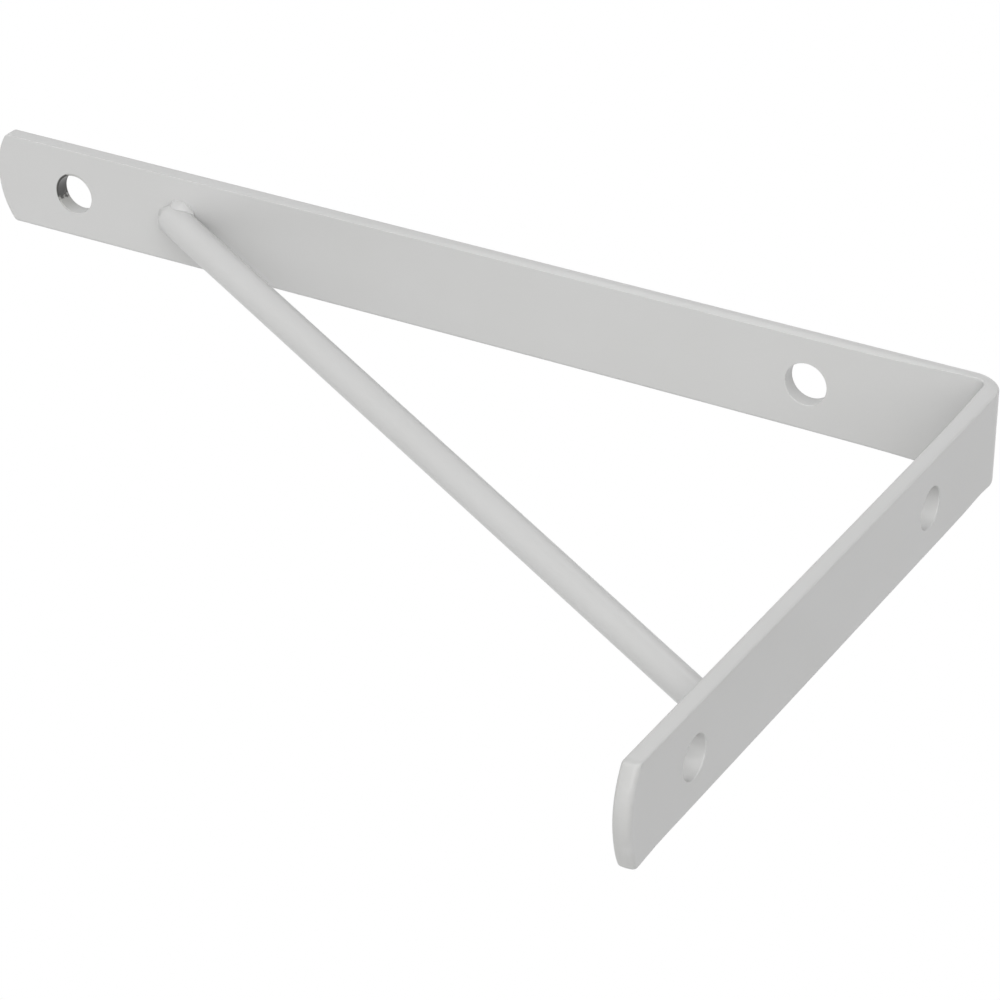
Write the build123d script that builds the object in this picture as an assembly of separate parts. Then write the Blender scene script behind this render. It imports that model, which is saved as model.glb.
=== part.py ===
from build123d import *
import os
from math import atan2, cos, degrees, radians, sin, sqrt

# Shelf bracket: a flat steel bar bent to a right angle, braced by a round rod that is welded to both arms.
# Millimetres. +X runs out along the shelf arm, +Y across the bar and +Z up.
# The origin is midway between the two wall screws, on the face that lies against the wall.

# Bent bar
shelf_arm_length = 300.0    # wall face to the tip of the shelf arm
wall_arm_length = 200.0     # shelf face to the tip of the wall arm
bar_width = 26.0
bar_thickness = 4.5
inner_edge_round = 0.8      # rolled-over edges of the inner faces
outer_edge_round = 0.35     # crisper edges of the outer faces
tip_arc_radius = 23.5       # shallow curve across each free end
tip_corner_radius = 1.6
shelf_tip_offset = 1.3      # the shelf arm's tip is cut this far off the bar's middle

# Bend, which thins the bar, swells its inner edges and draws in its outer ones
bend_outer_radius = 9.0
bend_thinning = 0.7
bend_swell = 0.9            # on each side
bend_draw = 0.6             # on each side

# Screw holes, placed by their centres
screw_hole_diameter = 11.5
screw_hole_edge = 0.4       # broken edge of each hole
shelf_hole_root = 52.7      # from the wall face
shelf_hole_end = 24.8       # from the tip of the shelf arm
wall_hole_root = 46.5       # from the shelf face
wall_hole_end = 29.5        # from the tip of the wall arm

# Brace rod, placed by the points where its axis meets the arms
rod_diameter = 8.35
rod_shelf_end = 56.2        # from the tip of the shelf arm
rod_wall_end = 48.4         # from the tip of the wall arm
rod_shelf_offset = 0.8      # off the bar's middle: the rod is welded slightly askew
rod_wall_offset = -0.8
rod_end_gap = 0.8           # along the axis, from each square-cut end to the arm
rod_end_round = 0.6

# Weld beads
bead_spread = 1.3           # width of the bead on the arm
bead_height = 2.4
bead_crest_round = 1.1
bead_start_angle = 28.0     # round the rod's footprint, from its heel to where the bead starts

# Dependent sizes
shelf_holes = [shelf_hole_root, shelf_arm_length - shelf_hole_end]
wall_holes = [wall_hole_root, wall_arm_length - wall_hole_end]
shelf_face_z = sum(wall_holes) / 2
rod_radius = rod_diameter / 2

# The rod's axis runs from its foot on the wall arm's inner face to its head under the shelf arm.
rod_foot = Vector(bar_thickness, rod_wall_offset, shelf_face_z - wall_arm_length + rod_wall_end)
rod_head = Vector(shelf_arm_length - rod_shelf_end, rod_shelf_offset, shelf_face_z - bar_thickness)
rod_axis = rod_head - rod_foot
rod_slope = degrees(atan2(rod_axis.Z, rod_axis.X))

# Each arm lies flat on its local XY plane, from the bend at X = 0 to its tip, with its outer face at Z = 0.
shelf_arm_plane = Plane((bend_outer_radius, 0, shelf_face_z), x_dir=(1, 0, 0), z_dir=(0, 0, 1))
wall_arm_plane = Plane((0, 0, shelf_face_z - bend_outer_radius), x_dir=(0, 0, -1), z_dir=(-1, 0, 0))

# The bend turns about this point, through these angles from the shelf arm to the wall arm.
bend_pivot = Vector(bend_outer_radius, 0, shelf_face_z - bend_outer_radius)
bend_angles = [0, 22.5, 45, 67.5, 90]

# Each weld lies on an arm's inner face, with X away from the bend and Z into the bracket.
shelf_weld_plane = Plane(rod_head, x_dir=(1, 0, 0), z_dir=(0, 0, -1))
wall_weld_plane = Plane(rod_foot, x_dir=(0, 0, -1), z_dir=(1, 0, 0))


def arm(length, holes, tip_offset=0.0):
    """A flat arm that runs from the bend's end to an arched tip with rounded corners."""
    half_width = bar_width / 2
    tip_centre = length - tip_arc_radius
    right_end = tip_centre + sqrt(tip_arc_radius**2 - (half_width + tip_offset) ** 2)
    left_end = tip_centre + sqrt(tip_arc_radius**2 - (half_width - tip_offset) ** 2)
    sides = Polyline((right_end, -half_width), (0, -half_width), (0, half_width), (left_end, half_width))
    tip = ThreePointArc((left_end, half_width), (length, tip_offset), (right_end, -half_width))
    outline = make_face(sides + tip)
    outline = fillet(outline.vertices().sort_by(Axis.X)[-2:], tip_corner_radius)
    flat = extrude(outline, amount=-bar_thickness)
    for end_of_sort, edge_round in ((0, inner_edge_round), (-1, outer_edge_round)):
        face_edges = flat.faces().sort_by(Axis.Z)[end_of_sort].edges()
        flat = fillet(face_edges.filter_by(lambda edge: edge.center().X > edge_round), edge_round)
    for place in holes:
        flat -= Pos(place, 0, 0) * Cylinder(screw_hole_diameter / 2, 3 * bar_thickness)
    hole_rims = flat.edges().filter_by(lambda edge: edge.is_closed)
    return chamfer(hole_rims, screw_hole_edge)


def bar_section(strain):
    """The bar's rounded section, outer face at Y = 0; strain is 0 on the arms and 1 in mid-bend."""
    inner_half = bar_width / 2 + bend_swell * strain
    outer_half = bar_width / 2 - bend_draw * strain
    depth = bar_thickness - bend_thinning * strain
    corners = [(-outer_half, 0), (outer_half, 0), (inner_half, -depth), (-inner_half, -depth)]
    section = make_face(Polyline(*corners, close=True))
    section = fillet(section.vertices().sort_by(Axis.Y)[:2], inner_edge_round)
    return fillet(section.vertices().sort_by(Axis.Y)[-2:], outer_edge_round)


def bend():
    """The quarter turn between the arms."""
    sections = []
    for angle in bend_angles:
        turn = radians(angle)
        outward = Vector(-sin(turn), 0, cos(turn))
        onward = Vector(-cos(turn), 0, -sin(turn))
        station = Plane(bend_pivot + outward * bend_outer_radius, x_dir=(0, -1, 0), z_dir=onward)
        sections.append(station * bar_section(sin(2 * turn) ** 2))
    return loft(sections)


def bent_bar():
    """The bar in one piece: shelf arm, bend and wall arm."""
    shelf_arm_holes = [place - bend_outer_radius for place in shelf_holes]
    wall_arm_holes = [place - bend_outer_radius for place in wall_holes]
    shelf_arm = arm(shelf_arm_length - bend_outer_radius, shelf_arm_holes, shelf_tip_offset)
    wall_arm = arm(wall_arm_length - bend_outer_radius, wall_arm_holes)
    return shelf_arm_plane * shelf_arm + bend() + wall_arm_plane * wall_arm


def behind_arm(weld_plane):
    """The space on the arm's side of a weld plane, as a block that reaches past the rod's end."""
    reach = 8 * rod_diameter
    return weld_plane * Box(reach, reach, reach, align=(Align.CENTER, Align.CENTER, Align.MAX))


def brace_rod():
    """The rod, cut square at both ends and set down on the arms, which flattens its inner side there."""
    length = rod_axis.length - 2 * rod_end_gap
    rod = Cylinder(rod_radius, length, align=(Align.CENTER, Align.CENTER, Align.MIN))
    rod = fillet(rod.edges().filter_by(GeomType.CIRCLE), rod_end_round)
    rod = Plane(rod_foot, x_dir=(0, 1, 0), z_dir=rod_axis) * Pos(0, 0, rod_end_gap) * rod
    return rod - behind_arm(shelf_weld_plane) - behind_arm(wall_weld_plane)


def weld_bead(weld_plane, rod_angle, rod):
    """A round-crested bead along the rod's footprint on an arm, open at the heel."""
    footprint_reach = rod_radius / sin(radians(rod_angle))
    start = -footprint_reach * cos(radians(bead_start_angle))
    blunt_end = -rod_end_gap / cos(radians(rod_angle))
    stations = [start, (start + blunt_end) / 2, blunt_end]
    half_widths = [rod_radius * sqrt(1 - (along / footprint_reach) ** 2) for along in stations]
    near = [(along, -half) for along, half in zip(stations, half_widths)]
    far = [(along, half) for along, half in zip(stations, half_widths)]
    sides = ThreePointArc(*near) + ThreePointArc(*far)
    footprint = make_face(sides + Line(near[0], far[0]) + Line(near[-1], far[-1]))
    heel = Pos(start, 0) * Rectangle(4 * bead_spread, 2 * rod_diameter, align=(Align.MAX, Align.CENTER))
    bead = extrude(offset(footprint, bead_spread, kind=Kind.ARC) - heel, amount=bead_height)
    crest = bead.faces().sort_by(Axis.Z)[-1].edges().filter_by(lambda edge: edge.center().X > start)
    return weld_plane * fillet(crest, bead_crest_round) - rod


rod = brace_rod()
nodes = {
    "bent_bar": bent_bar(),
    "brace_rod": rod,
    "shelf_arm_weld": weld_bead(shelf_weld_plane, rod_slope, rod),
    "wall_arm_weld": weld_bead(wall_weld_plane, 90 - rod_slope, rod),
}

os.makedirs("parts", exist_ok=True)
for name, solid in nodes.items():
    export_step(solid, f"parts/{name}.step")
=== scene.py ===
import bpy
import bmesh
from math import acos, atan2, cos, exp, pi, radians, sin, sqrt
from mathutils import Matrix, Vector


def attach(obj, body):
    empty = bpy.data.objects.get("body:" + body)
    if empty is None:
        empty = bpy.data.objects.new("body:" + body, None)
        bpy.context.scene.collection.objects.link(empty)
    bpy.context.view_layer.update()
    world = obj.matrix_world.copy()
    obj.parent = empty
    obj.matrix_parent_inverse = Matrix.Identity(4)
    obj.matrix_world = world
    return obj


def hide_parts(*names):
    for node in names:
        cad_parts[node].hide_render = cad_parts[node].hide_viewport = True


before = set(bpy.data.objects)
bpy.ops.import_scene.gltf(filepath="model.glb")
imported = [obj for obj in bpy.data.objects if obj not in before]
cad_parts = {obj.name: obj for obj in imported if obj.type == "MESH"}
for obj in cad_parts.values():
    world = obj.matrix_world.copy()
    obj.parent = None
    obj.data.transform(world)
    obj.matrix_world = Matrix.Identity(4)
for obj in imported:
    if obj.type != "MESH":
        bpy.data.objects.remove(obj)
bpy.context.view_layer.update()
print("frame loaded:", ", ".join(sorted(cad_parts)))

scene = bpy.context.scene
scene.view_settings.view_transform = "Standard"
millimetre = 0.001

# camera, metres in the bracket's own frame; it looks up at the bracket from under the wall arm
cameraView = {
    "eye": (-0.30849, 0.46822, -0.70369),
    "aim": (0.09074, 0.0, 0.01437),
    "up": (0.24728, 0.86879, 0.42902),
    "lens": 142.78,  # mm
    "sensor": 36.0,
    "clip": (0.05, 200.0),
}


def makeCamera(view):
    data = bpy.data.cameras.new("photoCamera")
    data.lens = view["lens"]
    data.sensor_width = view["sensor"]
    data.clip_start, data.clip_end = view["clip"]
    camera = bpy.data.objects.new("photoCamera", data)
    scene.collection.objects.link(camera)
    back = (Vector(view["eye"]) - Vector(view["aim"])).normalized()
    right = Vector(view["up"]).cross(back).normalized()
    up = back.cross(right)
    turn = Matrix((right, up, back)).transposed().to_4x4()
    camera.matrix_world = Matrix.Translation(view["eye"]) @ turn
    scene.camera = camera


makeCamera(cameraView)

# a white room over a pale floor: a soft dome that leans, broad lamps in front, left, right and below,
# a small one that glints on the bar's upper edge, and one behind that fills the shade
studio = {
    "domeLight": 0.46,  # what the dome gives the bracket
    "domeLean": (0.03, 0.0, 0.0),  # how much more of it comes from this side than from the middle
    "domeShown": 1.0,  # what the camera and reflections see
    "fill": ("backLamp",),  # lamps that only fill the shade, with no reflection of their own
    "gloss": ("rimLamp",),  # lamps that show only as a reflection
    "lamps": (  # name, place, size, power
        ("frontLamp", (-2.76, 3.28, -5.00), 6.4, 200.0),
        ("leftLamp", (-2.40, 5.20, -2.20), 5.6, 96.0),
        ("rightLamp", (2.80, 4.80, -3.20), 5.6, 70.0),
        ("bounceLamp", (0.50, -1.80, -5.80), 8.0, 58.0),
        ("rimLamp", (0.54, 1.06, 0.84), 0.5, 0.8),
        ("backLamp", (1.20, -2.40, 5.80), 5.6, 64.0),
    ),
    "floorDrop": 7.0,  # under the bracket's origin
    "floorSize": 140.0,
    "floorColour": (0.92, 0.92, 0.91, 1.0),
    "floorClear": (6.0, 18.0),  # from here to here the floor fades into the white room
}


def seenDirectly(nodes, links):  # 1 for rays from the camera, reflections and see-through
    path = nodes.new("ShaderNodeLightPath")
    first = nodes.new("ShaderNodeMath")
    first.operation = "MAXIMUM"
    links.new(path.outputs["Is Camera Ray"], first.inputs[0])
    links.new(path.outputs["Is Glossy Ray"], first.inputs[1])
    second = nodes.new("ShaderNodeMath")
    second.operation = "MAXIMUM"
    links.new(first.outputs[0], second.inputs[0])
    links.new(path.outputs["Is Transmission Ray"], second.inputs[1])
    return second.outputs[0]


def makeWorld():
    world = bpy.data.worlds.new("whiteRoom")
    scene.world = world
    world.use_nodes = True
    nodes, links = world.node_tree.nodes, world.node_tree.links
    nodes.clear()
    lean = nodes.new("ShaderNodeVectorMath")
    lean.operation = "DOT_PRODUCT"
    links.new(nodes.new("ShaderNodeTexCoord").outputs["Generated"], lean.inputs[0])
    lean.inputs[1].default_value = studio["domeLean"]
    level = nodes.new("ShaderNodeMath")
    links.new(lean.outputs["Value"], level.inputs[0])
    level.inputs[1].default_value = studio["domeLight"]
    lit = nodes.new("ShaderNodeBackground")
    links.new(level.outputs[0], lit.inputs["Strength"])
    shown = nodes.new("ShaderNodeBackground")
    shown.inputs["Strength"].default_value = studio["domeShown"]
    for background in (lit, shown):
        background.inputs["Color"].default_value = (1.0, 1.0, 1.0, 1.0)
    mix = nodes.new("ShaderNodeMixShader")
    links.new(seenDirectly(nodes, links), mix.inputs["Fac"])
    links.new(lit.outputs[0], mix.inputs[1])
    links.new(shown.outputs[0], mix.inputs[2])
    output = nodes.new("ShaderNodeOutputWorld")
    links.new(mix.outputs[0], output.inputs["Surface"])


def makeLamp(name, place, size, power):
    data = bpy.data.lights.new(name, "AREA")
    data.shape = "DISK"
    data.size = size
    data.energy = power
    lamp = bpy.data.objects.new(name, data)
    scene.collection.objects.link(lamp)
    lamp.location = place
    lamp.rotation_euler = (-Vector(place)).to_track_quat("-Z", "Y").to_euler()
    lamp.visible_glossy = name not in studio["fill"]
    lamp.visible_diffuse = name not in studio["gloss"]


def makeFloor():
    half = studio["floorSize"] / 2
    drop = -studio["floorDrop"]
    mesh = bpy.data.meshes.new("floor")
    corners = [(-half, -half, drop), (half, -half, drop), (half, half, drop), (-half, half, drop)]
    mesh.from_pydata(corners, [], [(0, 1, 2, 3)])
    floor = bpy.data.objects.new("floor", mesh)
    scene.collection.objects.link(floor)
    material = bpy.data.materials.new("paleFloor")
    material.use_nodes = True
    nodes, links = material.node_tree.nodes, material.node_tree.links
    nodes.clear()
    coords = nodes.new("ShaderNodeTexCoord")
    flat = nodes.new("ShaderNodeVectorMath")
    flat.operation = "MULTIPLY"
    flat.inputs[1].default_value = (1.0, 1.0, 0.0)
    links.new(coords.outputs["Object"], flat.inputs[0])
    reach = nodes.new("ShaderNodeVectorMath")
    reach.operation = "LENGTH"
    links.new(flat.outputs[0], reach.inputs[0])
    fade = nodes.new("ShaderNodeMapRange")
    fade.inputs["From Min"].default_value = studio["floorClear"][0]
    fade.inputs["From Max"].default_value = studio["floorClear"][1]
    links.new(reach.outputs["Value"], fade.inputs["Value"])
    shownFade = nodes.new("ShaderNodeMath")
    shownFade.operation = "MULTIPLY"
    links.new(fade.outputs["Result"], shownFade.inputs[0])
    links.new(seenDirectly(nodes, links), shownFade.inputs[1])
    paint = nodes.new("ShaderNodeBsdfDiffuse")
    paint.inputs["Color"].default_value = studio["floorColour"]
    glow = nodes.new("ShaderNodeEmission")
    glow.inputs["Strength"].default_value = studio["domeShown"]
    mix = nodes.new("ShaderNodeMixShader")
    links.new(shownFade.outputs[0], mix.inputs["Fac"])
    links.new(paint.outputs[0], mix.inputs[1])
    links.new(glow.outputs[0], mix.inputs[2])
    output = nodes.new("ShaderNodeOutputMaterial")
    links.new(mix.outputs[0], output.inputs["Surface"])
    mesh.materials.append(material)


makeWorld()
for lampRow in studio["lamps"]:
    makeLamp(*lampRow)
makeFloor()
print("room lit")

# white powder coat, metres
coat = {
    "colour": (0.600, 0.600, 0.599, 1.0),
    "cloudColour": (0.578, 0.578, 0.572, 1.0),  # where the coat lies a little thicker
    "cloudScale": 26.0,
    "cloudSpan": (0.20, 0.80),  # of the noise, here and in the other spans
    "thinCoatAndShadeColour": (0.530, 0.530, 0.524, 1.0),  # drawn thin over the crisp outer edges; the same colour is painted shade on the wall arm's sheared end
    "thinCoatAndShadeScale": 170.0,
    "thinCoatAndShadeSpan": (0.20, 0.80),
    "thinCoatAndShadeShare": (0.25, 1.0),  # least and most of that colour along an edge, and over the painted shade on the wall arm's end
    "roughness": (0.27, 0.35),
    "roughScale": 45.0,
    "roughSpan": (0.15, 0.85),
    "peelScale": 620.0,  # orange peel, about 1.5 mm across
    "peelHeight": 0.00010,
    "peelStrength": 0.10,
    "bareColour": (0.060, 0.060, 0.057, 1.0),  # steel left bare by the hook that held the bracket
    "hookHole": (0.2752, 0.0, 0.0),
    "hookSide": (0.94, 0.34, 0.0),  # from the hole's axis towards the mark
    "hookReach": (0.00600, 0.00620),  # from the hole's axis, where the mark ends
    "hookSpread": (0.66, 0.76),  # cosine of the turn from the hook's side, where it ends round the bore
    "hookScale": 900.0,
    "hookSpan": (0.3, 0.7),
    "hookRagged": (-0.12, 0.12),
    "stainColour": (0.390, 0.390, 0.375, 1.0),  # beside the mark, where the coat is starved
    "stainSpread": (-0.45, 0.70),
    "noiseDetail": 2.0,
}
acrossBore = (1.0, 1.0, 0.0)  # drops the part along the shelf holes' axes


def makeCoat():
    material = bpy.data.materials.new("whitePowderCoat")
    material.use_nodes = True
    nodes, links = material.node_tree.nodes, material.node_tree.links
    shader = nodes["Principled BSDF"]
    place = nodes.new("ShaderNodeTexCoord").outputs["Object"]

    def noise(scale):
        texture = nodes.new("ShaderNodeTexNoise")
        texture.inputs["Scale"].default_value = scale
        texture.inputs["Detail"].default_value = coat["noiseDetail"]
        links.new(place, texture.inputs["Vector"])
        return texture.outputs["Fac"]

    def ramp(value, low, high, first=0.0, last=1.0):
        node = nodes.new("ShaderNodeMapRange")
        node.inputs["From Min"].default_value = low
        node.inputs["From Max"].default_value = high
        node.inputs["To Min"].default_value = first
        node.inputs["To Max"].default_value = last
        links.new(value, node.inputs["Value"])
        return node.outputs["Result"]

    def vector(operation, first, second=None):  # the second is a fixed value
        node = nodes.new("ShaderNodeVectorMath")
        node.operation = operation
        links.new(first, node.inputs[0])
        if second is not None:
            node.inputs[1].default_value = second
        return node.outputs["Value" if operation in ("LENGTH", "DOT_PRODUCT") else "Vector"]

    def number(operation, first, second):
        node = nodes.new("ShaderNodeMath")
        node.operation = operation
        links.new(first, node.inputs[0])
        links.new(second, node.inputs[1])
        return node.outputs[0]

    def mixed(factor, first, second):  # sockets 6 and 7 are the colours, and 2 is the mixed colour
        node = nodes.new("ShaderNodeMix")
        node.data_type = "RGBA"
        links.new(factor, node.inputs["Factor"])
        for socket, value in ((node.inputs[6], first), (node.inputs[7], second)):
            if isinstance(value, tuple):
                socket.default_value = value
            else:
                links.new(value, socket)
        return node.outputs[2]

    clouds = ramp(noise(coat["cloudScale"]), *coat["cloudSpan"])
    colour = mixed(clouds, coat["colour"], coat["cloudColour"])
    # one attribute and one colour carry the thin coat on the outer edges and the painted shade on the wall
    # arm's sheared end
    thinCoatAndShadeMask = nodes.new("ShaderNodeAttribute")
    thinCoatAndShadeMask.attribute_name = "thinCoat"
    broken = ramp(noise(coat["thinCoatAndShadeScale"]), *coat["thinCoatAndShadeSpan"], *coat["thinCoatAndShadeShare"])
    colour = mixed(number("MULTIPLY", thinCoatAndShadeMask.outputs["Fac"], broken), colour, coat["thinCoatAndShadeColour"])

    # the hook's mark lies on one side of the bore of the hole nearest the shelf arm's tip
    fromHole = vector("MULTIPLY", vector("SUBTRACT", place, coat["hookHole"]), acrossBore)
    inBore = ramp(vector("LENGTH", fromHole), *coat["hookReach"], 1.0, 0.0)
    side = vector("DOT_PRODUCT", vector("NORMALIZE", fromHole), coat["hookSide"])
    stained = number("MULTIPLY", inBore, ramp(side, *coat["stainSpread"]))
    colour = mixed(stained, colour, coat["stainColour"])
    ragged = ramp(noise(coat["hookScale"]), *coat["hookSpan"], *coat["hookRagged"])
    onSide = ramp(number("ADD", side, ragged), *coat["hookSpread"])
    bare = number("MULTIPLY", inBore, onSide)
    colour = mixed(bare, colour, coat["bareColour"])
    links.new(colour, shader.inputs["Base Color"])

    rough = ramp(noise(coat["roughScale"]), *coat["roughSpan"], *coat["roughness"])
    links.new(rough, shader.inputs["Roughness"])
    peel = nodes.new("ShaderNodeBump")
    peel.inputs["Strength"].default_value = coat["peelStrength"]
    peel.inputs["Distance"].default_value = coat["peelHeight"]
    links.new(noise(coat["peelScale"]), peel.inputs["Height"])
    links.new(peel.outputs["Normal"], shader.inputs["Normal"])
    return material


whiteCoat = makeCoat()
print("coat mixed")


def linkPiece(name, mesh):
    piece = bpy.data.objects.new(name, mesh)
    scene.collection.objects.link(piece)
    return piece


def bakeModifiers(piece):  # leaves the piece as a plain mesh
    bpy.context.view_layer.update()
    evaluated = piece.evaluated_get(bpy.context.evaluated_depsgraph_get())
    mesh = bpy.data.meshes.new_from_object(evaluated)
    old = piece.data
    piece.modifiers.clear()
    piece.data = mesh
    bpy.data.meshes.remove(old)


def standFor(piece, node):
    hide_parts(node)
    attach(piece, "root")


# bent bar, millimetres: u runs along the flat bar, from the wall tip (minus) through the bend to the shelf
# tip (plus), v across it and w from its outer face (0) to its inner face (minus)
bar = {
    "shelfArm": 291.9,  # end of the bend to the tip
    "wallArm": 191.6,
    "halfWidth": 13.0,
    "thickness": 4.5,
    "outerRound": 0.40,
    "wallEdgeRound": (1.05, 0.25),  # outer edges of the wall arm, on its -Y and +Y sides
    "wallEdgeBlend": (6.0, 30.0),  # past the middle of the bend, where that rounding comes in
    "wallTipRound": 1.5,  # the outer edge is softer round the wall tip; smaller than tipCorner
    "wallTipTurn": 0.7,  # how far the edge faces the tip when it is that soft
    "innerRound": 0.90,
    "thinEdge": (0.2, 0.9),  # below the outer face, where the thin coat on its edges ends
    "thinStart": 0.1,
    "wallTipShade": 1.5,  # how strongly the darker colour is painted on the sheared end of the wall arm, as painted shade
    "wallTipShadeFrom": 0.5,  # in from that end, where that painted shade starts to fade out
    "sideCrown": (0.06, 0.40),  # elsewhere, and on the shelf arm's +Y side
    "crownFade": (0.25, 0.95),  # shares of the shelf arm, where that crown fades out
    "crispEdge": 0.18,  # inner edge of the shelf arm on its +Y side
    "tipArc": 23.5,
    "tipCorner": 1.7,
    "tipSteps": (7, 16),  # round each corner and along the arc
    "tipClear": 1.0,  # from the tip's corners to the first straight station
    "edgeSteps": (6, 6, 10),  # outer rounding, side and inner rounding
    "fineStep": 0.45,  # between stations in the bend
    "fineReach": 0.5,  # past the bend, where the steps start to grow
    "stepGrowth": 0.12,  # for each millimetre past the bend
    "coarseStep": 4.0,  # at most
    "shelfTipOffset": 1.2,
    "wallTipFlare": 0.60,  # the lower corner of the wall tip stands out by this
    "flareInset": 4.0,  # from the tip to the middle of the flare
    "flareReach": 6.0,
    "flareAlong": 0.8,  # growth along the arm, as a share of the growth across it
    "bendRadius": 9.0,
    "shelfFace": 108.5,
    "bendThinning": 0.7,
    "bendSwell": 1.1,
    "swellReach": 20.0,
    "lowerSpread": 0.45,  # the inner face is a little wider on its -Y side, fading along the shelf arm
    "spreadReach": 75.0,
    "bendDraw": 0.6,
    "bendLean": 0.45,  # the outer face shifts towards +Y in the bend
    "bendPull": 0.8,  # the lower outer edge draws in beside the bend
    "pullPlace": -12.0,
    "pullReach": 9.0,
    "boreOuterRound": 0.40,
    "boreInnerRound": 0.22,
    "boreSides": 72,
    "boreRimTurn": 74.0,  # degrees of each rim's rounding, which then runs straight out through the face
    "boreRimSteps": 7,
    "boreRunOut": 6,  # length of that straight part, in last steps of the rounding
    "shelfHoles": ((52.9, 0.0, 11.5), (275.3, -0.1, 11.1)),  # from the wall face, off the middle, bore
    "wallHoles": ((46.5, 0.0, 10.8), (170.5, 0.0, 10.8)),  # from the shelf face, off the middle, bore
    "shadeWeight": 90,  # of the large faces, when the shading is evened out
}
halfBend = bar["bendRadius"] * pi / 4


def smoothStep(value, low, high):
    t = min(max((value - low) / (high - low), 0.0), 1.0)
    return t * t * (3.0 - 2.0 * t)


def tipOutline(length, offset):  # points and outward normals from the -v side to the +v side
    arc, corner, half = bar["tipArc"], bar["tipCorner"], bar["halfWidth"]
    centre = Vector((length - arc, offset))
    inward = half - corner
    low = Vector((centre.x + sqrt((arc - corner) ** 2 - (inward + offset) ** 2), -inward))
    high = Vector((centre.x + sqrt((arc - corner) ** 2 - (inward - offset) ** 2), inward))
    turnLow = atan2(low.y - centre.y, low.x - centre.x)
    turnHigh = atan2(high.y - centre.y, high.x - centre.x)
    cornerSteps, arcSteps = bar["tipSteps"]
    spans = (
        (low, corner, -pi / 2, turnLow, cornerSteps),
        (centre, arc, turnLow, turnHigh, arcSteps),
        (high, corner, turnHigh, pi / 2, cornerSteps),
    )
    outline = []
    for middle, radius, first, last, steps in spans:
        for step in range(1 if outline else 0, steps + 1):  # a span starts where the last one ended
            angle = first + (last - first) * step / steps
            normal = Vector((cos(angle), sin(angle)))
            outline.append((middle + normal * radius, normal))
    return outline


def sideShape(u, side):  # the side's crown and the rounding of its inner edge
    plain, full = bar["sideCrown"]
    grows = smoothStep(u, -halfBend, 2 * halfBend) * (side > 0.0)
    fades = 1.0 - smoothStep(u, *(share * bar["shelfArm"] for share in bar["crownFade"]))
    inner = bar["innerRound"] + (bar["crispEdge"] - bar["innerRound"]) * grows
    return plain + (full - plain) * grows * fades, inner


def edgeProfile(outer, crown, inner):  # inset from the outline and height, from outer face to inner face
    thick = bar["thickness"]
    outerSteps, sideSteps, innerSteps = bar["edgeSteps"]
    points = []
    for step in range(outerSteps + 1):
        angle = pi / 2 * step / outerSteps
        points.append((outer * (1 - sin(angle)), -outer * (1 - cos(angle))))
    for step in range(1, sideSteps):
        t = step / sideSteps
        points.append((crown * ((2 * t - 1) ** 2 - 1), -outer - (thick - outer - inner) * t))
    for step in range(innerSteps + 1):
        angle = pi / 2 * step / innerSteps
        points.append((inner * (1 - cos(angle)), -(thick - inner) - inner * sin(angle)))
    return points


def barStations(first, last):  # along the bar, close together in and beside the bend
    stations = [first]
    fine = bar["fineStep"]
    while stations[-1] > last:
        away = max(abs(stations[-1]) - halfBend, 0.0)
        step = fine if away < bar["fineReach"] else min(fine + bar["stepGrowth"] * away, bar["coarseStep"])
        stations.append(stations[-1] - step)
    stations[-1] = last
    return stations


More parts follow.
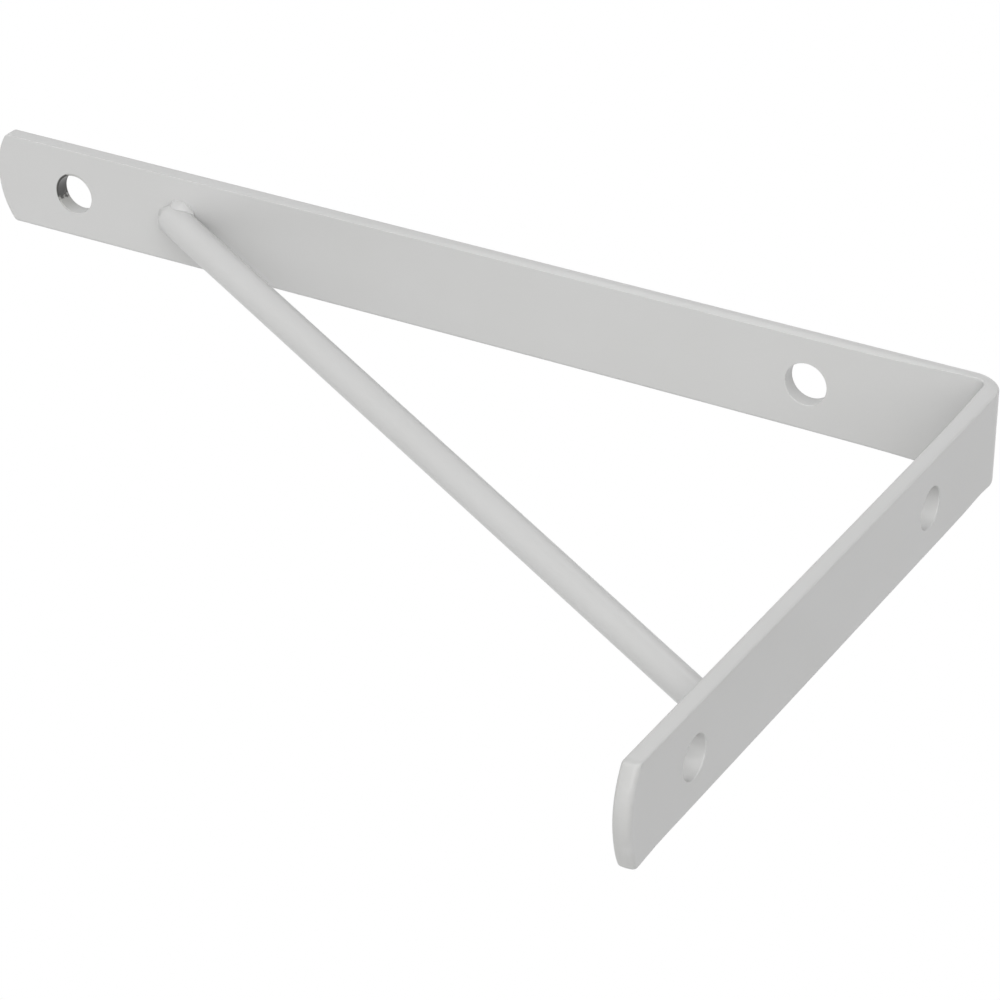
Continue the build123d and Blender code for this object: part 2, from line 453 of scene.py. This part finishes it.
def flatBar():
    half = bar["halfWidth"]
    shelfTip = tipOutline(bar["shelfArm"], bar["shelfTipOffset"])
    shelfTip = [(Vector((p.x + halfBend, p.y)), n) for p, n in shelfTip]
    wallTip = tipOutline(bar["wallArm"], 0.0)
    wallTip = [(Vector((-p.x - halfBend, p.y)), Vector((-n.x, n.y))) for p, n in wallTip]
    columns = len(shelfTip)
    ends = (
        min(shelfTip[0][0].x, shelfTip[-1][0].x) - bar["tipClear"],
        max(wallTip[0][0].x, wallTip[-1][0].x) + bar["tipClear"],
    )
    stations = barStations(*ends)
    rows = len(stations) + 2
    build = bmesh.new()
    outerGrid, innerGrid, rings = {}, {}, []

    border = [(0, j) for j in range(columns)]
    border += [(i, columns - 1) for i in range(1, rows)]
    border += [(rows - 1, j) for j in range(columns - 2, -1, -1)]
    border += [(i, 0) for i in range(rows - 2, 0, -1)]
    for i, j in border:
        if i == 0:
            point, normal = shelfTip[j]
        elif i == rows - 1:
            point, normal = wallTip[j]
        else:
            side = 1.0 if j else -1.0
            point, normal = Vector((stations[i - 1], side * half)), Vector((0.0, side))
        ring = []
        wallEdge = bar["wallEdgeRound"][0 if normal.y < 0 else 1]
        onWall = smoothStep(-point.x, *bar["wallEdgeBlend"])
        outer = bar["outerRound"] + (wallEdge - bar["outerRound"]) * onWall
        if i == rows - 1:
            outer += (bar["wallTipRound"] - outer) * smoothStep(-normal.x, 0.0, bar["wallTipTurn"])
        for inset, height in edgeProfile(outer, *sideShape(point.x, normal.y)):
            spot = point - normal * inset
            ring.append(build.verts.new((spot.x, spot.y, height)))
        rings.append(ring)
        outerGrid[i, j] = ring[0]
        innerGrid[i, j] = ring[-1]
    for k, ring in enumerate(rings):
        following = rings[(k + 1) % len(rings)]
        for p in range(len(ring) - 1):
            build.faces.new((ring[p], ring[p + 1], following[p + 1], following[p]))

    # the flat faces: columns run from tip to tip
    for grid, height in ((outerGrid, 0.0), (innerGrid, -bar["thickness"])):
        for i in range(1, rows - 1):
            u = stations[i - 1]
            t = (u - ends[1]) / (ends[0] - ends[1])
            low, high = -grid[i, 0].co.y, grid[i, columns - 1].co.y
            for j in range(1, columns - 1):
                share = grid[rows - 1, j].co.y / grid[rows - 1, columns - 1].co.y * (1 - t)
                share += grid[0, j].co.y / grid[0, columns - 1].co.y * t
                grid[i, j] = build.verts.new((u, share * (high if share > 0.0 else low), height))
        for i in range(rows - 1):
            for j in range(columns - 1):
                build.faces.new((grid[i, j], grid[i + 1, j], grid[i + 1, j + 1], grid[i, j + 1]))
    bmesh.ops.recalc_face_normals(build, faces=build.faces)
    mesh = bpy.data.meshes.new("flatBar")
    build.to_mesh(mesh)
    build.free()
    return mesh


def boreCutters():  # one waisted plug for each screw hole, in flat coordinates
    sides = bar["boreSides"]
    holes = [(halfBend + x - bar["bendRadius"], v, bore / 2) for x, v, bore in bar["shelfHoles"]]
    holes += [(bar["bendRadius"] - halfBend - z, v, bore / 2) for z, v, bore in bar["wallHoles"]]

    def flare(rim):  # how a rim opens out, as growth of the radius and distance short of the face
        steps = []
        for step in range(bar["boreRimSteps"] + 1):
            angle = radians(bar["boreRimTurn"]) * step / bar["boreRimSteps"]
            steps.append((rim * (1 - cos(angle)), rim * (1 - sin(angle))))
        (r0, w0), (r1, w1) = steps[-2:]
        return steps + [(r1 + (r1 - r0) * bar["boreRunOut"], w1 + (w1 - w0) * bar["boreRunOut"])]

    profile = [(grow, -short) for grow, short in reversed(flare(bar["boreOuterRound"]))]
    profile += [(grow, short - bar["thickness"]) for grow, short in flare(bar["boreInnerRound"])]
    turns = [2 * pi * k / sides for k in range(sides)]
    build = bmesh.new()
    for u, v, bore in holes:
        rings = []
        for grow, height in profile:
            radius = bore + grow
            ring = [(u + radius * cos(turn), v + radius * sin(turn), height) for turn in turns]
            rings.append([build.verts.new(spot) for spot in ring])
        for upper, lower in zip(rings, rings[1:]):
            for k in range(sides):
                n = (k + 1) % sides
                build.faces.new((upper[k], lower[k], lower[n], upper[n]))
        build.faces.new(rings[0])
        build.faces.new(rings[-1])
    bmesh.ops.recalc_face_normals(build, faces=build.faces)
    mesh = bpy.data.meshes.new("boreCutters")
    build.to_mesh(mesh)
    build.free()
    return mesh


def foldBar(u, v, w):  # the flat bar's point, in its place on the bracket
    half, thick, radius = bar["halfWidth"], bar["thickness"], bar["bendRadius"]
    depth = -w / thick
    flareSpot = Vector((-bar["wallArm"] - halfBend + bar["flareInset"], -half))
    fromCorner = (Vector((u, v)) - flareSpot).length
    flare = bar["wallTipFlare"] * exp(-((fromCorner / bar["flareReach"]) ** 2))
    u -= bar["flareAlong"] * flare
    v -= flare
    lower = smoothStep(-v, 0.0, half)
    v += bar["bendPull"] * lower * (1.0 - depth) * exp(-(((u - bar["pullPlace"]) / bar["pullReach"]) ** 2))
    angle = pi / 4 * (1.0 - min(max(u / halfBend, -1.0), 1.0))
    strain = sin(2 * angle) ** 2
    swell = bar["bendSwell"] * depth * exp(-((u / bar["swellReach"]) ** 2))
    draw = bar["bendDraw"] * (1.0 - depth) * strain
    if u > 0.0:
        v -= bar["lowerSpread"] * lower * depth * exp(-((u / bar["spreadReach"]) ** 2))
    v = v * (1.0 + (swell - draw) / half) + bar["bendLean"] * (1.0 - depth) * strain
    w *= 1.0 - bar["bendThinning"] / thick * strain
    if u > halfBend:
        return Vector((radius + u - halfBend, v, bar["shelfFace"] + w))
    if u < -halfBend:
        return Vector((-w, v, bar["shelfFace"] - radius + u + halfBend))
    outward = Vector((-sin(angle), 0.0, cos(angle)))
    pivot = Vector((radius, v, bar["shelfFace"] - radius))
    return pivot + outward * (radius + w)


def makeBar():
    piece = linkPiece("bentBar", flatBar())
    cutters = linkPiece("boreCutters", boreCutters())
    cut = piece.modifiers.new("bores", "BOOLEAN")
    cut.operation = "DIFFERENCE"
    cut.solver = "EXACT"
    cut.object = cutters
    bakeModifiers(piece)
    cutterMesh = cutters.data
    bpy.data.objects.remove(cutters)
    bpy.data.meshes.remove(cutterMesh)
    mesh = piece.data
    thinCoatAndShadeMask = mesh.attributes.new("thinCoat", "FLOAT", "POINT")
    tipCentre = bar["tipArc"] - bar["wallArm"] - halfBend
    for vertex in mesh.vertices:
        u, v, w = vertex.co
        onEdge = smoothStep(-w, 0.0, bar["thinStart"]) * (1.0 - smoothStep(-w, *bar["thinEdge"]))
        inset = bar["tipArc"] - Vector((u - tipCentre, v)).length if u < tipCentre else bar["tipArc"]
        # painted shade on the wall arm's sheared end, darkening it with the same colour as the thin coat on
        # the edges
        onTip = 1.0 - smoothStep(inset, bar["wallTipShadeFrom"], bar["wallTipRound"])
        thinCoatAndShadeMask.data[vertex.index].value = max(onEdge, bar["wallTipShade"] * onTip)
        vertex.co = foldBar(u, v, w) * millimetre
    mesh.shade_smooth()
    mesh.materials.clear()
    mesh.materials.append(whiteCoat)
    soften = piece.modifiers.new("evenShade", "WEIGHTED_NORMAL")
    soften.weight = bar["shadeWeight"]
    bakeModifiers(piece)
    standFor(piece, "bent_bar")
    print("bar bent:", len(piece.data.polygons), "faces")


makeBar()


def nodeInput(tree, name, kind):  # a named input of a Geometry Nodes tree
    return tree.interface.new_socket(name=name, in_out="INPUT", socket_type=kind).identifier


# brace rod, millimetres; its axis runs from the wall arm's inner face to the shelf arm's
rod = {
    "foot": Vector((4.5, -0.9, -43.1)),
    "head": Vector((243.8, 0.8, 104.0)),
    "footRadius": 3.96,
    "headRadius": 4.42,  # the coat is heavier towards the shelf arm
    "endGap": 0.8,  # along the axis, from each square-cut end to the arm
    "endRound": 1.2,
    "endSegments": 5,
    "rimAngle": 60.0,  # edges that turn by more than this are the rims to round
    "sharpAngle": 40.0,  # edges that turn by more than this are shaded sharp
    "sides": 72,
    "stations": 90,
    "mergeGap": 1e-6,  # metres, as is the next
    "cutGap": 1e-7,
}
rodAxis = (rod["head"] - rod["foot"]).normalized()
rodSlope = atan2(rodAxis.z, rodAxis.x)


def rodTree():  # a round section along a line, its radius changing from one end to the other
    tree = bpy.data.node_groups.new("roundRod", "GeometryNodeTree")
    nodes, links = tree.nodes, tree.links
    ids = {
        "start": nodeInput(tree, "Start", "NodeSocketVector"),
        "end": nodeInput(tree, "End", "NodeSocketVector"),
        "startRadius": nodeInput(tree, "Start Radius", "NodeSocketFloat"),
        "endRadius": nodeInput(tree, "End Radius", "NodeSocketFloat"),
        "stations": nodeInput(tree, "Stations", "NodeSocketInt"),
        "sides": nodeInput(tree, "Sides", "NodeSocketInt"),
        "coat": nodeInput(tree, "Coat", "NodeSocketMaterial"),
    }
    tree.interface.new_socket(name="Rod", in_out="OUTPUT", socket_type="NodeSocketGeometry")
    given = nodes.new("NodeGroupInput").outputs
    line = nodes.new("GeometryNodeCurvePrimitiveLine")
    links.new(given["Start"], line.inputs["Start"])
    links.new(given["End"], line.inputs["End"])
    divided = nodes.new("GeometryNodeResampleCurve")
    links.new(line.outputs["Curve"], divided.inputs["Curve"])
    links.new(given["Stations"], divided.inputs["Count"])
    along = nodes.new("GeometryNodeSplineParameter")
    radius = nodes.new("ShaderNodeMapRange")
    links.new(along.outputs["Factor"], radius.inputs["Value"])
    links.new(given["Start Radius"], radius.inputs["To Min"])
    links.new(given["End Radius"], radius.inputs["To Max"])
    circle = nodes.new("GeometryNodeCurvePrimitiveCircle")
    circle.inputs["Radius"].default_value = 1.0
    links.new(given["Sides"], circle.inputs["Resolution"])
    tube = nodes.new("GeometryNodeCurveToMesh")
    links.new(divided.outputs["Curve"], tube.inputs["Curve"])
    links.new(circle.outputs["Curve"], tube.inputs["Profile Curve"])
    links.new(radius.outputs["Result"], tube.inputs["Scale"])
    tube.inputs["Fill Caps"].default_value = True
    real = nodes.new("GeometryNodeRealizeInstances")
    links.new(tube.outputs["Mesh"], real.inputs["Geometry"])
    coated = nodes.new("GeometryNodeSetMaterial")
    links.new(real.outputs["Geometry"], coated.inputs["Geometry"])
    links.new(given["Coat"], coated.inputs["Material"])
    links.new(coated.outputs["Geometry"], nodes.new("NodeGroupOutput").inputs["Rod"])
    return tree, ids


def makeRod():
    piece = linkPiece("braceRod", bpy.data.meshes.new("braceRod"))
    tree, ids = rodTree()
    grow = piece.modifiers.new("roundRod", "NODES")
    grow.node_group = tree
    grow[ids["start"]] = (rod["foot"] + rodAxis * rod["endGap"]) * millimetre
    grow[ids["end"]] = (rod["head"] - rodAxis * rod["endGap"]) * millimetre
    grow[ids["startRadius"]] = rod["footRadius"] * millimetre
    grow[ids["endRadius"]] = rod["headRadius"] * millimetre
    grow[ids["stations"]] = rod["stations"]
    grow[ids["sides"]] = rod["sides"]
    grow[ids["coat"]] = whiteCoat
    bakeModifiers(piece)
    build = bmesh.new()
    build.from_mesh(piece.data)
    bmesh.ops.remove_doubles(build, verts=build.verts, dist=rod["mergeGap"])
    sharp = radians(rod["rimAngle"])
    rims = [edge for edge in build.edges if edge.is_manifold and edge.calc_face_angle(0.0) > sharp]
    bmesh.ops.bevel(
        build, geom=rims, offset=rod["endRound"] * millimetre, segments=rod["endSegments"],
        profile=0.5, affect="EDGES",
    )
    # the arms' inner faces flatten the ends
    for place, normal in ((rod["foot"], Vector((-1.0, 0.0, 0.0))), (rod["head"], Vector((0.0, 0.0, 1.0)))):
        cut = bmesh.ops.bisect_plane(
            build, geom=build.verts[:] + build.edges[:] + build.faces[:], dist=rod["cutGap"],
            plane_co=place * millimetre, plane_no=normal, clear_outer=True,
        )
        rim = [item for item in cut["geom_cut"] if isinstance(item, bmesh.types.BMEdge)]
        bmesh.ops.edgeloop_fill(build, edges=rim)
    bmesh.ops.recalc_face_normals(build, faces=build.faces)
    build.to_mesh(piece.data)
    build.free()
    piece.data.shade_smooth()
    piece.data.set_sharp_from_angle(angle=radians(rod["sharpAngle"]))
    standFor(piece, "brace_rod")
    print("rod set:", len(piece.data.polygons), "faces")


makeRod()

# weld beads, millimetres; each runs round the rod's footprint on an arm, from the heel round the toe and back
weld = {
    "sides": 48,
    "pathSteps": (24, 6, 8),  # along a side, round a corner and to the middle of the toe
    "pitch": 2.4,  # of the unevenness along the bead
    "uneven": 0.10,
    "unevenSpan": (0.25, 0.75),  # of the noise that makes it
    "unevenDetail": 1.0,
    "corner": 0.7,  # rounding of the path at the rod's end
    "heelPlace": -2.0,  # where the path starts, and the next where that rounding lies, in the places below
    "cornerPlaces": (-1.1, -0.9),
    "toeBow": 0.09,  # how far the bead leans back over the rod's end, for each square millimetre of its leg
    "heelAngle": 20.0,  # round the footprint, from the heel to where the bead starts
    # place on the path (-2 and 2 at the heel, -1 and 1 at the corners of the toe), leg on the arm, leg on
    # the rod, and the section between them (1 round, 2 straight, 3 hollow)
    "shelf": (
        (-2.0, 0.60, 0.60, 2.6), (-1.6, 2.20, 2.20, 2.5), (-1.0, 2.80, 2.80, 2.3), (-0.6, 4.40, 4.40, 2.1),
        (-0.1, 5.10, 4.60, 2.1), (0.4, 4.20, 4.40, 2.1), (0.78, 1.90, 2.80, 2.1), (0.95, 0.50, 0.80, 1.8),
        (1.08, 0.95, 2.00, 1.7), (1.35, 1.65, 3.50, 1.7), (1.60, 1.50, 3.20, 1.7), (1.85, 0.95, 2.00, 1.6),
        (2.0, 0.30, 0.45, 1.6),
    ),
    "wall": (
        (-2.0, 0.40, 0.40, 1.4), (-1.8, 1.10, 1.40, 1.2), (-1.2, 1.30, 1.70, 1.2), (-1.0, 1.20, 1.60, 1.6),
        (0.0, 1.50, 2.20, 2.4), (1.0, 1.20, 1.60, 1.6), (1.3, 1.35, 1.80, 1.1), (1.8, 1.15, 1.50, 1.2),
        (2.0, 0.40, 0.40, 1.4),
    ),
    "shelfSeed": 4,
    "wallSeed": 9,
}


def weldTree():  # sweeps a rounded or hollow section, set by two legs, along a path
    tree = bpy.data.node_groups.new("weldBead", "GeometryNodeTree")
    nodes, links = tree.nodes, tree.links
    tree.interface.new_socket(name="Path", in_out="INPUT", socket_type="NodeSocketGeometry")
    ids = {
        "sides": nodeInput(tree, "Sides", "NodeSocketInt"),
        "pitch": nodeInput(tree, "Pitch", "NodeSocketFloat"),
        "smallest": nodeInput(tree, "Smallest", "NodeSocketFloat"),
        "largest": nodeInput(tree, "Largest", "NodeSocketFloat"),
        "seed": nodeInput(tree, "Seed", "NodeSocketFloat"),
        "coat": nodeInput(tree, "Coat", "NodeSocketMaterial"),
    }
    tree.interface.new_socket(name="Bead", in_out="OUTPUT", socket_type="NodeSocketGeometry")
    given = nodes.new("NodeGroupInput").outputs

    def stored(name, kind):
        node = nodes.new("GeometryNodeInputNamedAttribute")
        node.data_type = kind
        node.inputs["Name"].default_value = name
        return node.outputs["Attribute"]

    def fill(socket, value):
        if isinstance(value, float):
            socket.default_value = value
        else:
            links.new(value, socket)

    def number(operation, first, second=None):
        node = nodes.new("ShaderNodeMath")
        node.operation = operation
        fill(node.inputs[0], first)
        if second is not None:
            fill(node.inputs[1], second)
        return node.outputs[0]

    def vector(operation, first, second):
        node = nodes.new("ShaderNodeVectorMath")
        node.operation = operation
        links.new(first, node.inputs[0])
        links.new(second, node.inputs["Scale" if operation == "SCALE" else 1])
        return node.outputs["Vector"]

    path = nodes.new("GeometryNodeMeshToCurve")
    links.new(given["Path"], path.inputs["Mesh"])
    circle = nodes.new("GeometryNodeCurvePrimitiveCircle")
    links.new(given["Sides"], circle.inputs["Resolution"])
    marked = nodes.new("GeometryNodeStoreNamedAttribute")
    marked.inputs["Name"].default_value = "roundSection"
    links.new(circle.outputs["Curve"], marked.inputs["Geometry"])
    links.new(nodes.new("GeometryNodeSplineParameter").outputs["Factor"], marked.inputs["Value"])
    swept = nodes.new("GeometryNodeCurveToMesh")
    links.new(path.outputs["Curve"], swept.inputs["Curve"])
    links.new(marked.outputs["Geometry"], swept.inputs["Profile Curve"])
    swept.inputs["Fill Caps"].default_value = True

    turn = number("MULTIPLY", stored("roundSection", "FLOAT"), 2 * pi)
    hollow = stored("hollow", "FLOAT")
    noise = nodes.new("ShaderNodeTexNoise")
    noise.noise_dimensions = "4D"
    noise.inputs["Detail"].default_value = weld["unevenDetail"]
    spot = stored("spot", "FLOAT_VECTOR")
    links.new(spot, noise.inputs["Vector"])
    links.new(number("DIVIDE", 1.0, given["Pitch"]), noise.inputs["Scale"])
    links.new(given["Seed"], noise.inputs["W"])
    uneven = nodes.new("ShaderNodeMapRange")
    uneven.inputs["From Min"].default_value = weld["unevenSpan"][0]
    uneven.inputs["From Max"].default_value = weld["unevenSpan"][1]
    links.new(noise.outputs["Fac"], uneven.inputs["Value"])
    links.new(given["Smallest"], uneven.inputs["To Min"])
    links.new(given["Largest"], uneven.inputs["To Max"])
    reach = spot
    for leg, wave in (("armLeg", "COSINE"), ("rodLeg", "SINE")):
        swing = number(wave, turn)
        size = number("POWER", number("ABSOLUTE", swing), hollow)
        size = number("MULTIPLY", size, number("SIGN", swing))
        size = number("MULTIPLY", size, uneven.outputs["Result"])
        reach = vector("ADD", reach, vector("SCALE", stored(leg, "FLOAT_VECTOR"), size))
    bow = vector("SCALE", stored("rodBow", "FLOAT_VECTOR"), number("MULTIPLY", size, size))
    reach = vector("ADD", reach, bow)
    shaped = nodes.new("GeometryNodeSetPosition")
    links.new(swept.outputs["Mesh"], shaped.inputs["Geometry"])
    links.new(reach, shaped.inputs["Position"])
    real = nodes.new("GeometryNodeRealizeInstances")
    links.new(shaped.outputs["Geometry"], real.inputs["Geometry"])
    coated = nodes.new("GeometryNodeSetMaterial")
    links.new(real.outputs["Geometry"], coated.inputs["Geometry"])
    links.new(given["Coat"], coated.inputs["Material"])
    links.new(coated.outputs["Geometry"], nodes.new("NodeGroupOutput").inputs["Bead"])
    return tree, ids


# stations of a bead, local to its arm: place, spot, way out on the arm, way up the rod and that way's bow
def weldPath(angle, radius):
    sideSteps, cornerSteps, toeSteps = weld["pathSteps"]
    heel = weld["heelPlace"]
    cornerStart, cornerEnd = weld["cornerPlaces"]
    reach = radius / sin(angle)
    blunt = -rod["endGap"] / cos(angle)
    first = radians(weld["heelAngle"])
    easing = weld["corner"]
    last = acos((easing - blunt) / reach)  # where the corner's rounding starts
    axis = Vector((-cos(angle), 0.0, sin(angle)))
    half = []
    for step in range(sideSteps + 1):  # up one side, from the heel
        turn = first + (last - first) * step / sideSteps
        spot = Vector((-reach * cos(turn), radius * sin(turn), 0.0))
        out = Vector((-cos(turn) / reach, sin(turn) / radius, 0.0)).normalized()
        skin = Vector((-sin(angle) * cos(turn), sin(turn), -cos(angle) * cos(turn)))
        up = (Vector((0.0, 0.0, 1.0)) - skin * skin.z).normalized()
        bow = skin * -(1.0 - up.dot(axis) ** 2) / (2 * radius)
        half.append((heel + (cornerStart - heel) * step / sideSteps, spot, out, up, bow))
    sideOut, sideUp, sideBow = half[-1][2:]
    toeOut = Vector((1.0, 0.0, 0.0))
    toeUp = Vector((sin(angle), 0.0, cos(angle)))
    toeBow = axis * weld["toeBow"]
    lift = rod["endGap"] * sin(angle) / cos(angle)

    def rimAt(y):  # height of the rod's end over the arm, as a share of its height in the middle
        return (sqrt(max(radius ** 2 - y ** 2, 0.0)) + lift) / (radius + lift)

    centre = half[-1][1] - sideOut * easing
    for step in range(1, cornerSteps + 1):  # round the corner
        t = step / cornerSteps
        out = sideOut.slerp(toeOut, t)
        spot = centre + out * easing
        up = sideUp.slerp(toeUp, t) * (1 - t + t * rimAt(spot.y))
        place = cornerStart + (cornerEnd - cornerStart) * t
        half.append((place, spot, out, up, sideBow.lerp(toeBow, t)))
    corner = half[-1][1]
    for step in range(1, toeSteps + 1):  # to the middle of the toe
        t = step / toeSteps
        spot = Vector((corner.x, corner.y * (1 - t), 0.0))
        rim = rimAt(spot.y)
        half.append((cornerEnd * (1 - t), spot, toeOut, toeUp * rim, toeBow * rim ** 2))
    flip = Vector((1.0, -1.0, 1.0))
    return half + [(-place, *(item * flip for item in rest)) for place, *rest in reversed(half[:-1])]


def weldSection(rows, place):  # legs and hollow at a place on the path
    for (k0, *low), (k1, *high) in zip(rows, rows[1:]):
        if place <= k1:
            t = (place - k0) / (k1 - k0)
            return [a + (b - a) * t for a, b in zip(low, high)]


beadTree, beadInputs = weldTree()


def makeWeld(name, node, rows, place, along, away, angle, radius, seed):
    stations = weldPath(angle, radius)
    mesh = bpy.data.meshes.new(name)
    spots = [station[1] * millimetre for station in stations]
    mesh.from_pydata(spots, [(k, k + 1) for k in range(len(spots) - 1)], [])
    for key in ("spot", "armLeg", "rodLeg", "rodBow"):
        mesh.attributes.new(key, "FLOAT_VECTOR", "POINT")
    mesh.attributes.new("hollow", "FLOAT", "POINT")
    fields = mesh.attributes
    for k, (way, spot, out, up, bow) in enumerate(stations):
        armLeg, rodLeg, hollow = weldSection(rows, way)
        fields["spot"].data[k].vector = spot * millimetre
        fields["armLeg"].data[k].vector = out * armLeg * millimetre
        fields["rodLeg"].data[k].vector = up * rodLeg * millimetre
        fields["rodBow"].data[k].vector = bow * rodLeg ** 2 * millimetre
        fields["hollow"].data[k].value = hollow
    piece = linkPiece(name, mesh)
    grow = piece.modifiers.new("weldBead", "NODES")
    grow.node_group = beadTree
    grow[beadInputs["sides"]] = weld["sides"]
    grow[beadInputs["pitch"]] = weld["pitch"] * millimetre
    grow[beadInputs["smallest"]] = 1.0 - weld["uneven"]
    grow[beadInputs["largest"]] = 1.0 + weld["uneven"]
    grow[beadInputs["seed"]] = float(seed)
    grow[beadInputs["coat"]] = whiteCoat
    bakeModifiers(piece)
    turn = Matrix((along, away.cross(along), away)).transposed().to_4x4()
    build = bmesh.new()
    build.from_mesh(piece.data)
    bmesh.ops.transform(build, matrix=Matrix.Translation(place * millimetre) @ turn, verts=build.verts)
    bmesh.ops.recalc_face_normals(build, faces=build.faces)
    build.to_mesh(piece.data)
    build.free()
    piece.data.shade_smooth()
    standFor(piece, node)
    print(name, "laid:", len(piece.data.polygons), "faces")


outward, downward = Vector((1.0, 0.0, 0.0)), Vector((0.0, 0.0, -1.0))
makeWeld(
    "shelfArmWeld", "shelf_arm_weld", weld["shelf"], rod["head"], outward, downward,
    rodSlope, rod["headRadius"], weld["shelfSeed"],
)
makeWeld(
    "wallArmWeld", "wall_arm_weld", weld["wall"], rod["foot"], downward, outward,
    pi / 2 - rodSlope, rod["footRadius"], weld["wallSeed"],
)
